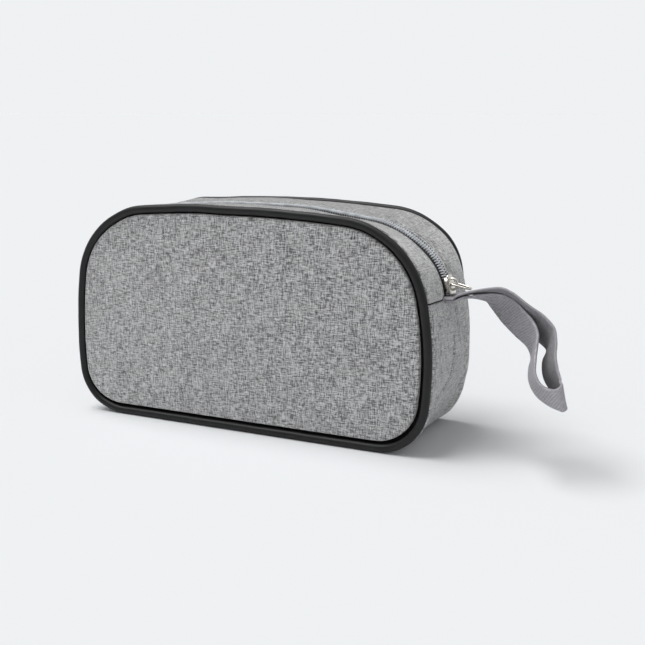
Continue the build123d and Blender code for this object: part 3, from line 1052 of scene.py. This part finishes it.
# Zip


# Inputs of the node tree that repeats a small piece, and their kinds
REPEAT_INPUTS = {
    "Line": "Geometry", "Piece": "Object", "Pitch": "Float", "Unevenness": "Float",
    "Seed": "Int", "Material": "Material",
}


def repeat_tree():
    """Node tree that sets copies of a small piece along a line that lies in the XZ plane."""
    tree = bpy.data.node_groups.new("Set along a line", "GeometryNodeTree")
    for name, kind in REPEAT_INPUTS.items():
        tree.interface.new_socket(name, in_out="INPUT", socket_type=f"NodeSocket{kind}")
    tree.interface.new_socket("Pieces", in_out="OUTPUT", socket_type="NodeSocketGeometry")
    given = tree.nodes.new("NodeGroupInput").outputs
    curve = shader_node(tree, "GeometryNodeMeshToCurve", {"Mesh": given["Line"]})
    even = shader_node(
        tree, "GeometryNodeResampleCurve", {"Curve": curve.outputs[0], "Length": given["Pitch"]},
        mode="LENGTH",
    )
    tangent = shader_node(tree, "GeometryNodeInputTangent")
    turn = shader_node(
        tree, "FunctionNodeAlignRotationToVector", {"Vector": tangent.outputs[0]},
        axis="X", pivot_axis="Y",
    )
    uneven = Wire(given["Unevenness"])
    scale = shader_node(
        tree, "FunctionNodeRandomValue", {2: 1.0 - uneven, 3: uneven + 1.0, "Seed": given["Seed"]},
        data_type="FLOAT",
    )
    source = shader_node(tree, "GeometryNodeObjectInfo", {"Object": given["Piece"]})
    copies = shader_node(
        tree, "GeometryNodeInstanceOnPoints",
        {"Points": even.outputs[0], "Instance": source.outputs["Geometry"],
         "Rotation": turn.outputs[0], "Scale": scale.outputs[1]},
    )
    real = shader_node(tree, "GeometryNodeRealizeInstances", {0: copies.outputs[0]})
    finished = shader_node(
        tree, "GeometryNodeSetMaterial", {"Geometry": real.outputs[0], "Material": given["Material"]}
    )
    shader_node(tree, "NodeGroupOutput", {0: finished.outputs[0]})
    return tree


def set_along(name, points, piece, pitch, unevenness, seed, material):
    """Copies of a small piece along a line, as one plain mesh."""
    tree = bpy.data.node_groups.get("Set along a line") or repeat_tree()
    mesh = bpy.data.meshes.new(name)
    edges = [(i, i + 1) for i in range(len(points) - 1)]
    mesh.from_pydata([tuple(p) for p in points], edges, [])
    row = new_object(name, mesh)
    modifier = row.modifiers.new("Set along", "NODES")
    modifier.node_group = tree
    values = {
        "Piece": piece, "Pitch": pitch, "Unevenness": unevenness, "Seed": seed,
        "Material": material,
    }
    for item in tree.interface.items_tree:
        if item.item_type == "SOCKET" and item.name in values:
            modifier[item.identifier] = values[item.name]
    apply_modifiers(row)
    row.data.shade_smooth()
    return row


def wire_piece(name, path, half_wide, half_high, sides, closed=False, side=(0, 1, 0)):
    """Wire of an oval section along a path. side is the section's wide direction."""
    path = np.array([tuple(p) for p in path], float)
    if closed:
        run = np.roll(path, -1, axis=0) - np.roll(path, 1, axis=0)
    else:
        run = np.gradient(path, axis=0)
    run /= np.linalg.norm(run, axis=1)[:, None]
    wide = np.array(side) - run * (run @ np.array(side))[:, None]
    wide /= np.linalg.norm(wide, axis=1)[:, None]
    high = np.cross(run, wide)
    angle = np.linspace(0, 2 * math.pi, sides, endpoint=False)
    ring = np.cos(angle)[None, :, None] * wide[:, None] * half_wide
    ring = ring + np.sin(angle)[None, :, None] * high[:, None] * half_high
    points = path[:, None] + ring
    uvs = np.zeros((len(path) + 1, sides + 1, 2))
    return grid_piece(name, points, uvs, closed, True, not closed)


def coil_tooth():
    """One turn of the front coil: out of the tape, over to the middle, round the head and back."""
    pitch = sizes().coil_pitch
    half = CHAIN_HALF_WIDTH
    path = [
        (-0.18 * pitch, -half + 0.5 * MM, 0.75 * MM),
        (-0.16 * pitch, -half + 0.05 * MM, 1.15 * MM),
        (-0.10 * pitch, -half + 0.35 * MM, 1.75 * MM),
        (-0.02 * pitch, -half + 1.1 * MM, 2.0 * MM),
        (0.10 * pitch, -0.8 * MM, 2.05 * MM),
        (0.15 * pitch, 0.15 * MM, 1.95 * MM),
        (0.17 * pitch, 0.62 * MM, 1.5 * MM),
        (0.15 * pitch, 0.35 * MM, 1.1 * MM),
        (0.05 * pitch, -0.8 * MM, 1.0 * MM),
    ]
    return wire_piece("coil_tooth", path, 0.38 * MM, 0.34 * MM, 8, side=(1, 0, 0))


def stitch_thread():
    """One stitch: a short thread that dives into the cloth at both ends."""
    half = 0.36 * sizes().stitch_pitch
    path = [
        (-half, 0, -0.35 * MM), (-0.85 * half, 0, 0.0), (-0.5 * half, 0, 0.14 * MM),
        (0, 0, 0.17 * MM), (0.5 * half, 0, 0.14 * MM), (0.85 * half, 0, 0.0),
        (half, 0, -0.35 * MM),
    ]
    return wire_piece("stitch", path, 0.2 * MM, 0.16 * MM, 6)


def line_over_top(sideways, level, lift, shift=0.0):
    """Points along the zip from the left seam over the top to the right seam."""
    step = 1.5 * MM
    trim = 1.6 * MM
    distance = np.arange(SEAM_LEFT - trim + shift, SEAM_RIGHT + trim + shift, -step)
    x, z = outline_at(distance, level + lift(distance, sideways + 0 * distance))
    return np.stack([x, sideways + 0 * x, z], -1)


# Slider and pull


def rounded_corners(points, radius, steps=5):
    """Closed flat outline with its corners rounded by one radius."""
    made = []
    count = len(points)
    for index in range(count):
        before, here, after = (Vector(points[(index + k) % count]) for k in (-1, 0, 1))
        back = (before - here).normalized()
        ahead = (after - here).normalized()
        half = back.angle(ahead) / 2
        length = min(radius / math.tan(half), 0.49 * (before - here).length,
                     0.49 * (after - here).length)
        start = here + back * length
        end = here + ahead * length
        for k in range(steps + 1):
            t = k / steps
            made.append((1 - t) ** 2 * start + 2 * t * (1 - t) * here + t**2 * end)
    return made


def finished_mesh(name, shape):
    """Mesh of a shape that was being edited, which is let go."""
    mesh = bpy.data.meshes.new(name)
    shape.to_mesh(mesh)
    shape.free()
    return mesh


def prism(name, outline, low, high, bevel):
    """Plate with a flat outline from one level to another, its edges bevelled."""
    shape = bmesh.new()
    face = shape.faces.new([shape.verts.new((p[0], p[1], low)) for p in outline])
    raised = bmesh.ops.extrude_face_region(shape, geom=[face])
    lifted = [v for v in raised["geom"] if isinstance(v, bmesh.types.BMVert)]
    bmesh.ops.translate(shape, verts=lifted, vec=(0, 0, high - low))
    bmesh.ops.recalc_face_normals(shape, faces=shape.faces)
    rims = [e for e in shape.edges if abs(e.verts[0].co.z - e.verts[1].co.z) < 1e-9]
    bmesh.ops.bevel(shape, geom=rims, offset=bevel, segments=3, affect="EDGES", profile=0.5)
    mesh = finished_mesh(name, shape)
    mesh.shade_smooth()
    return new_object(name, mesh)


def joined(name, pieces):
    """Several pieces as one."""
    shape = bmesh.new()
    for piece in pieces:
        shape.from_mesh(piece.data)
        bpy.data.objects.remove(piece)
    return new_object(name, finished_mesh(name, shape))


SLIDER_LENGTH = 11.0 * MM
SLIDER_BASE_LENGTH = 9.0 * MM
SLIDER_WIDTH = 9.0 * MM
SLIDER_NOSE_WIDTH = 7.0 * MM
SLIDER_PLATE = 1.1 * MM
SLIDER_TOP = 4.2 * MM
CROWN_LENGTH = 7.4 * MM
CROWN_HEIGHT = 3.7 * MM
CROWN_WIRE = 1.3 * MM
PULL_WIDTH = 7.2 * MM
PULL_TIP_WIDTH = 3.4 * MM
PULL_WIRE = 1.2 * MM
PULL_LENGTH = 10.0 * MM
PULL_DROOP = math.radians(12)


def slider_matrix():
    """Place of the slider: its x along the zip, its z outwards, its origin on its top plate."""
    away = PULL_PIVOT - CORNER_CENTRE
    angle = math.atan2(away.z, away.x)
    out = Vector((math.cos(angle), 0, math.sin(angle)))
    along = Vector((-math.sin(angle), 0, math.cos(angle)))
    origin = CORNER_CENTRE + out * (TOP_CORNER_RADIUS + SLIDER_TOP)
    turn = Matrix((along, out.cross(along), out)).transposed().to_4x4()
    return Matrix.Translation(origin) @ turn


def slider_outline(length):
    """Slider seen from above: wide shoulders towards the seam and a narrower nose."""
    half = SLIDER_WIDTH / 2
    nose = SLIDER_NOSE_WIDTH / 2
    end = length / 2
    corners = [(-end, -half), (0, -half), (end, -nose), (end, nose), (0, half), (-end, half)]
    return rounded_corners(corners, 1.8 * MM)


def slider_parts():
    """Body of the slider: two plates, their side flanges, and the wedge that joins them."""
    half = SLIDER_WIDTH / 2
    low = -SLIDER_TOP - 0.4 * MM
    under_plate = -0.5 * MM
    parts = [
        prism("top", slider_outline(SLIDER_LENGTH), -SLIDER_PLATE, 0, 0.35 * MM),
        prism("base", slider_outline(SLIDER_BASE_LENGTH), low - SLIDER_PLATE, low, 0.3 * MM),
    ]
    flank = [
        (-4.3 * MM, half - 1.0 * MM), (-4.3 * MM, half - 0.05 * MM),
        (0.2 * MM, half - 0.05 * MM), (4.2 * MM, half - 0.75 * MM),
        (4.2 * MM, half - 1.6 * MM), (0.0, half - 1.0 * MM),
    ]
    for sign in (-1, 1):
        outline = [(x, sign * y) for x, y in flank]
        parts.append(prism("flank", outline, -3.3 * MM, under_plate, 0.2 * MM))
    long = 1.5 * MM
    thick = 0.3 * MM
    wedge = [(long, -thick), (long, thick), (-long, thick), (-long, -thick)]
    parts.append(prism("wedge", wedge, low - 0.5 * MM, under_plate, 0.05 * MM))
    return parts


def crown_piece():
    """Arch on the slider that holds the pull, its legs sunk into the top plate."""
    half = (CROWN_LENGTH - CROWN_WIRE) / 2
    top = CROWN_HEIGHT - CROWN_WIRE / 2
    bend = top - 0.5 * MM
    path = [(-half, 0, -0.6 * MM), (-half, 0, 0.2 * MM)]
    for angle in np.radians(range(180, -1, -15)):
        side = (half - bend) * np.sign(round(math.cos(angle), 6))
        path.append((side + bend * math.cos(angle), 0, top - bend + bend * math.sin(angle)))
    path += [(half, 0, 0.2 * MM), (half, 0, -0.6 * MM)]
    return wire_piece("slider_crown_plated", path, 1.0 * MM, CROWN_WIRE / 2, 14)


def pull_piece():
    """Pull: a tapered loop of wire with a bar through the crown."""
    half = (PULL_WIDTH - PULL_WIRE) / 2
    tip = (PULL_TIP_WIDTH - PULL_WIRE) / 2
    upright = (0, 0, 1)
    tapered = [(0, -half), (PULL_LENGTH - 2 * tip, -half + tip / 2), (PULL_LENGTH, -tip)]
    corners = tapered + [(x, -y) for x, y in reversed(tapered)]
    loop = [(p[0], p[1], 0.0) for p in rounded_corners(corners, 1.1 * MM, 6)]
    thick = PULL_WIRE / 2
    wire = wire_piece("wire", loop, thick, thick, 12, closed=True, side=upright)
    bar = [(0, share * half, 0) for share in (-1, -0.5, 0, 0.5, 1)]
    return joined(
        "slider_pull_plated", [wire, wire_piece("bar", bar, 0.7 * MM, 0.7 * MM, 12, side=upright)]
    )


# Strap


def strap_stations(step=1.2 * MM):
    """Smooth places, width directions and distances along the strap's line."""
    inside = [(-1.6, 0, level, 0, 0) for level in (-0.65, 0.65)]
    values = np.array([inside[0], *STRAP_POINTS, inside[1]], float)
    values[:, :3] *= MM
    knots = running_length(values[:, :3])
    slopes = np.gradient(values, knots, axis=0)
    at = np.append(np.arange(0, knots[-1], step), knots[-1])
    index = np.clip(np.searchsorted(knots, at, side="right") - 1, 0, len(knots) - 2)
    gap = (knots[index + 1] - knots[index])[:, None]
    t = (at[:, None] - knots[index][:, None]) / gap
    made = (
        (2 * t**3 - 3 * t**2 + 1) * values[index] + (t**3 - 2 * t**2 + t) * gap * slopes[index]
        + (-2 * t**3 + 3 * t**2) * values[index + 1] + (t**3 - t**2) * gap * slopes[index + 1]
    )
    line = made[:, :3]
    run = np.gradient(line, at, axis=0)
    run /= np.linalg.norm(run, axis=1)[:, None]
    lean = np.radians(made[:, 3])[:, None]
    turn = np.radians(made[:, 4])
    leaning = np.stack([-np.sin(turn), 0 * turn, -np.cos(turn)], -1)
    across = np.array([0.0, 1.0, 0.0]) * np.cos(lean) + leaning * np.sin(lean)
    across -= run * (across * run).sum(1)[:, None]
    across /= np.linalg.norm(across, axis=1)[:, None]
    return line + np.array(STRAP_ROOT), across, np.cross(across, run), at


STRAP_HALF_WIDTH = 10.0 * MM
STRAP_HALF_THICKNESS = 0.6 * MM


def strap_piece():
    """The wrist strap: one webbing from the seam round its loop and back to the seam."""
    line, across, out, walked = strap_stations()
    half = STRAP_HALF_WIDTH
    places = np.linspace(-half + 0.25 * MM, half - 0.25 * MM, 15)
    selvedge = np.where(np.abs(places) < half - 1.0 * MM, 1.0, 1.12)
    level = STRAP_HALF_THICKNESS * selvedge
    wide = np.concatenate([places, [half], places[::-1], [-half]])
    high = np.concatenate([level, [0.0], -level[::-1], [0.0]])
    points = line[:, None] + across[:, None] * wide[None, :, None]
    points = points + out[:, None] * high[None, :, None]
    sideways = np.append(wide, wide[0])
    # The reverse face's u is moved, so that the webbing's material paints shade on that face
    sideways[len(places) + 1:-2] += REVERSE_SHIFT
    uvs = np.stack(np.meshgrid(sideways, walked), -1)
    return grid_piece("wrist_strap_webbing", points, uvs, False, True, True)


# Operators


class POUCH_OT_stage(bpy.types.Operator):
    """Floor, light and camera"""

    bl_idname = "pouch.stage"
    bl_label = "Stage"

    def execute(self, context):
        make_camera()
        make_floor()
        make_light()
        return {"FINISHED"}


class POUCH_OT_panels(bpy.types.Operator):
    """Front and back padded panels"""

    bl_idname = "pouch.panels"
    bl_label = "Panels"

    def execute(self, context):
        for side, sign in SIDES:
            piece = dressed_panel(f"{side}_panel_cloth", sign)
            finish_piece(piece, "pouch", "melange_cloth", f"{side}_panel")
        return {"FINISHED"}


class POUCH_OT_gusset(bpy.types.Operator):
    """Base gusset and the two strips beside the zip"""

    bl_idname = "pouch.gusset"
    bl_label = "Gusset"

    def execute(self, context):
        dressed_band(
            "base_gusset_cloth", "melange_cloth", "base_gusset", base_gusset_profile(),
            (SEAM_LEFT - OUTLINE_LENGTH, SEAM_RIGHT), 1.5 * MM, gusset_lift,
            lambda across: seam_lean(across) - seam_opening(across),
        )
        for side, sign in SIDES:
            dressed_band(
                f"zip_strip_{side}_cloth", "melange_cloth", f"zip_strip_{side}",
                zip_strip_profile(sign), (SEAM_RIGHT, SEAM_LEFT), 1.5 * MM, strip_lift,
                lambda across: -seam_lean(across) - seam_opening(across),
            )
        return {"FINISHED"}


class POUCH_OT_piping(bpy.types.Operator):
    """Piping round both panels"""

    bl_idname = "pouch.piping"
    bl_label = "Piping"

    def execute(self, context):
        turn = (0.0, OUTLINE_LENGTH)
        for side, sign in SIDES:
            dressed_band(
                f"{side}_piping_cover", "piping_vinyl", f"{side}_piping", piping_profile(sign),
                turn, 1.5 * MM, piping_lift,
            )
            dressed_band(
                f"{side}_piping_filler", "piping_cord", f"{side}_piping_cord",
                arc_points((sign * BEAD_PLANE, 0.0), CORD_RADIUS, 0, 330, 12),
                turn, 3 * MM, piping_lift,
            )
        return {"FINISHED"}


class POUCH_OT_zip(bpy.types.Operator):
    """Zip tapes and the two coils on them"""

    bl_idname = "pouch.zip"
    bl_label = "Zip"

    def execute(self, context):
        tooth = coil_tooth()
        other = mirrored_copy(tooth, "coil_tooth_back")
        pitch = sizes().coil_pitch
        nylon = material_for("zip_coil")
        for (side, sign), piece, shift in zip(SIDES, (tooth, other), (0.0, pitch / 2)):
            tape = layer_profile(sign * 0.4 * MM, sign * TAPE_HALF_WIDTH, 0.0, TAPE_THICKNESS, 8)
            dressed_band(
                f"zipper_tape_{side}_cloth", "zip_tape", f"zipper_tape_{side}", tape,
                STRIP_LAYER_ENDS, 2 * MM, slack,
            )
            line = line_over_top(0.0, 0.0, slack, shift)
            coil = set_along(f"zipper_coil_{side}_turns", line, piece, pitch, 0.0, 1, nylon)
            finish_piece(coil, "pouch", "zip_coil", f"zipper_coil_{side}")
            bpy.data.objects.remove(piece)
        return {"FINISHED"}


class POUCH_OT_stitching(bpy.types.Operator):
    """Lines of stitches along the zip"""

    bl_idname = "pouch.stitching"
    bl_label = "Stitching"

    def execute(self, context):
        stitch = stitch_thread()
        thread = material_for("stitch_thread")
        for side, sign in SIDES:
            line = line_over_top(sign * STITCH_LINE, float(strip_level(STITCH_LINE)), strip_lift)
            row = set_along(f"stitches_{side}", line, stitch, sizes().stitch_pitch, 0.08, 3, thread)
            finish_piece(row, "pouch", "melange_cloth", material=thread)
        bpy.data.objects.remove(stitch)
        return {"FINISHED"}


class POUCH_OT_slider(bpy.types.Operator):
    """Slider, its crown and the pull"""

    bl_idname = "pouch.slider"
    bl_label = "Slider"

    def execute(self, context):
        place = slider_matrix()
        body = joined("slider_body_plated", slider_parts())
        for piece, node in ((body, "slider_body"), (crown_piece(), "slider_crown")):
            piece.data.transform(place)
            finish_piece(piece, "slider", "nickel", node)
        pull = pull_piece()
        turn = Matrix.Rotation(PULL_DROOP, 4, "Y")
        pull.data.transform(Matrix.Translation(PULL_PIVOT) @ turn)
        finish_piece(pull, "pull", "nickel", "slider_pull")
        return {"FINISHED"}


class POUCH_OT_strap(bpy.types.Operator):
    """Wrist strap"""

    bl_idname = "pouch.strap"
    bl_label = "Wrist strap"

    def execute(self, context):
        strap = strap_piece()
        finish_piece(strap, None, "webbing", "wrist_strap")
        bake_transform(strap)
        return {"FINISHED"}


class POUCH_OT_layers(bpy.types.Operator):
    """Foam and linings that follow the gusset's slack"""

    bl_idname = "pouch.layers"
    bl_label = "Gusset layers"

    def execute(self, context):
        ends = (SEAM_LEFT - OUTLINE_LENGTH + 1.5 * MM, SEAM_RIGHT - 1.5 * MM)
        low = GUSSET_RISE - GUSSET_CLOTH
        lining_half = GUSSET_EDGE - 1.4 * MM
        for slot, form, half, bottom, top in (
            ("foam", "foam_sheet", GUSSET_EDGE - 4.2 * MM, low - 2.2 * MM, low - 0.2 * MM),
            ("lining", "lining_sheet", lining_half, low - 2.6 * MM, low - 2.25 * MM),
        ):
            sheet = layer_profile(-half, half, bottom, top, 30)
            dressed_band(f"base_{form}", slot, f"base_{slot}", sheet, ends, 2 * MM, gusset_lift)
        for side, sign in SIDES:
            strip = layer_profile(
                sign * 7 * MM, sign * (lining_half - 0.8 * MM), -0.45 * MM, -0.05 * MM
            )
            dressed_band(
                f"zip_strip_{side}_lining_sheet", "lining", f"zip_strip_{side}_lining", strip,
                STRIP_LAYER_ENDS, 2 * MM, strip_lift,
            )
        return {"FINISHED"}


class POUCH_OT_insides(bpy.types.Operator):
    """Finish of the hidden foam, linings, bindings and strap ends"""

    bl_idname = "pouch.insides"
    bl_label = "Insides"

    def execute(self, context):
        slots = {row["node"]: row["material_slot"] for row in frame["record"]["subparts"]}
        for name, piece in frame["nodes"].items():
            if not piece.hide_render:
                piece.data.materials.clear()
                piece.data.materials.append(material_for(slots[name]))
        return {"FINISHED"}


# Stage

CAMERA_AZIMUTH = math.radians(25.95)
CAMERA_ELEVATION = math.radians(11.68)
CAMERA_DISTANCE = 598.5 * MM
CAMERA_TARGET = Vector((34.3, 0, 60.4)) * MM
CAMERA_LENS = 57.48


def make_camera():
    """Camera at the photograph's place."""
    lens = bpy.data.cameras.new("Camera")
    lens.lens = CAMERA_LENS
    lens.sensor_width = 36
    lens.clip_start = 0.01
    lens.clip_end = 100
    flat = math.cos(CAMERA_ELEVATION)
    back = Vector((
        math.sin(CAMERA_AZIMUTH) * flat, -math.cos(CAMERA_AZIMUTH) * flat,
        math.sin(CAMERA_ELEVATION),
    ))
    camera = new_object("Camera", lens)
    camera.location = CAMERA_TARGET + back * CAMERA_DISTANCE
    camera.rotation_euler = (-back).to_track_quat("-Z", "Y").to_euler()
    bpy.context.scene.camera = camera


def make_floor():
    """Pale matt floor that runs far past the view."""
    reach = 40.0
    corners = [(-reach, -reach, 0), (reach, -reach, 0), (reach, reach, 0), (-reach, reach, 0)]
    floor = new_piece("floor", corners, [(0, 1, 2, 3)])
    material, shader = new_material("floor")
    pale = (*colours().backdrop, 1.0)
    set_surface(shader, base_color=pale, roughness=1.0, specular_ior_level=0.0)
    floor.data.materials.append(material)


# Share of the light that comes from all round, and how much more of it comes from the front
SKY_SHARE = 0.38
SKY_LEAN = 0.35
SUN_SIZE = math.radians(40)
SUN_FROM = Vector((-0.36, -0.12, 0.93))


def make_sky():
    """Even light from all round, a graded reflection, and the plain backdrop that is seen."""
    world = bpy.data.worlds.new("Studio")
    bpy.context.scene.world = world
    world.use_nodes = True
    tree = world.node_tree
    rays = shader_node(tree, "ShaderNodeLightPath").outputs
    camera, glossy, through = (
        Wire(rays[f"Is {kind} Ray"]) for kind in ("Camera", "Glossy", "Transmission")
    )
    towards = shader_node(tree, "ShaderNodeTexCoord").outputs["Generated"]
    parts = shader_node(tree, "ShaderNodeSeparateXYZ", {0: towards}).outputs
    y = Wire(parts[1])
    z = Wire(parts[2])
    light = tree.nodes["Background"]
    even = spread(y, -1, 1, (1 + SKY_LEAN) * SKY_SHARE, (1 - SKY_LEAN) * SKY_SHARE)
    set_surface(light, color=(1, 1, 1, 1), strength=even)
    reflected = maths("MAXIMUM", spread(y, -0.4, 0.6, 0.2, 0.8), spread(z, 0.5, 0.95, 0.0, 1.3))
    strength = reflected + camera * (1.0 - reflected)
    pale = (*colours().backdrop, 1.0)
    seen = shader_node(tree, "ShaderNodeBackground", {"Color": pale, "Strength": strength})
    either = maths("MAXIMUM", maths("MAXIMUM", camera, glossy), through)
    mixed = shader_node(
        tree, "ShaderNodeMixShader", {0: either, 1: light.outputs[0], 2: seen.outputs[0]}
    )
    tree.links.new(mixed.outputs[0], tree.nodes["World Output"].inputs["Surface"])


def make_light():
    """Even studio light from all round, and one broad lamp from above, in front and the left."""
    bpy.context.scene.view_settings.view_transform = "Standard"
    make_sky()
    lamp = bpy.data.lights.new("Softbox", "SUN")
    direction = SUN_FROM.normalized()
    lamp.energy = (1 - SKY_SHARE) * math.pi / direction.z
    lamp.angle = SUN_SIZE
    softbox = new_object("Softbox", lamp)
    softbox.rotation_euler = direction.to_track_quat("Z", "Y").to_euler()


class POUCH_PT_panel(bpy.types.Panel):
    """Sizes, colours and steps of the pouch"""

    bl_label = "Utility pouch"
    bl_idname = "POUCH_PT_panel"
    bl_space_type = "VIEW_3D"
    bl_region_type = "UI"
    bl_category = "Pouch"

    def draw(self, context):
        for group in (context.scene.pouch_sizes, context.scene.pouch_colours):
            box = self.layout.box()
            for name in group.__annotations__:
                box.prop(group, name)
        for step in STEPS:
            self.layout.operator(step.bl_idname)


STEPS = (
    POUCH_OT_stage,
    POUCH_OT_panels,
    POUCH_OT_gusset,
    POUCH_OT_piping,
    POUCH_OT_zip,
    POUCH_OT_stitching,
    POUCH_OT_slider,
    POUCH_OT_strap,
    POUCH_OT_layers,
    POUCH_OT_insides,
)
GROUPS = (PouchSizes, PouchColours)


def register():
    """Adds the groups, steps and sidebar panel."""
    for item in (*GROUPS, *STEPS, POUCH_PT_panel):
        bpy.utils.register_class(item)
    bpy.types.Scene.pouch_sizes = PointerProperty(type=PouchSizes)
    bpy.types.Scene.pouch_colours = PointerProperty(type=PouchColours)


def unregister():
    """Takes them away again."""
    del bpy.types.Scene.pouch_sizes
    del bpy.types.Scene.pouch_colours
    for item in reversed((*GROUPS, *STEPS, POUCH_PT_panel)):
        bpy.utils.unregister_class(item)


def main():
    """Makes the stage and every piece."""
    register()
    bpy.ops.pouch.stage()
    bpy.ops.pouch.panels()
    bpy.ops.pouch.gusset()
    bpy.ops.pouch.piping()
    bpy.ops.pouch.zip()
    bpy.ops.pouch.stitching()
    bpy.ops.pouch.slider()
    bpy.ops.pouch.strap()
    bpy.ops.pouch.layers()
    bpy.ops.pouch.insides()


if __name__ == "__main__":
    main()
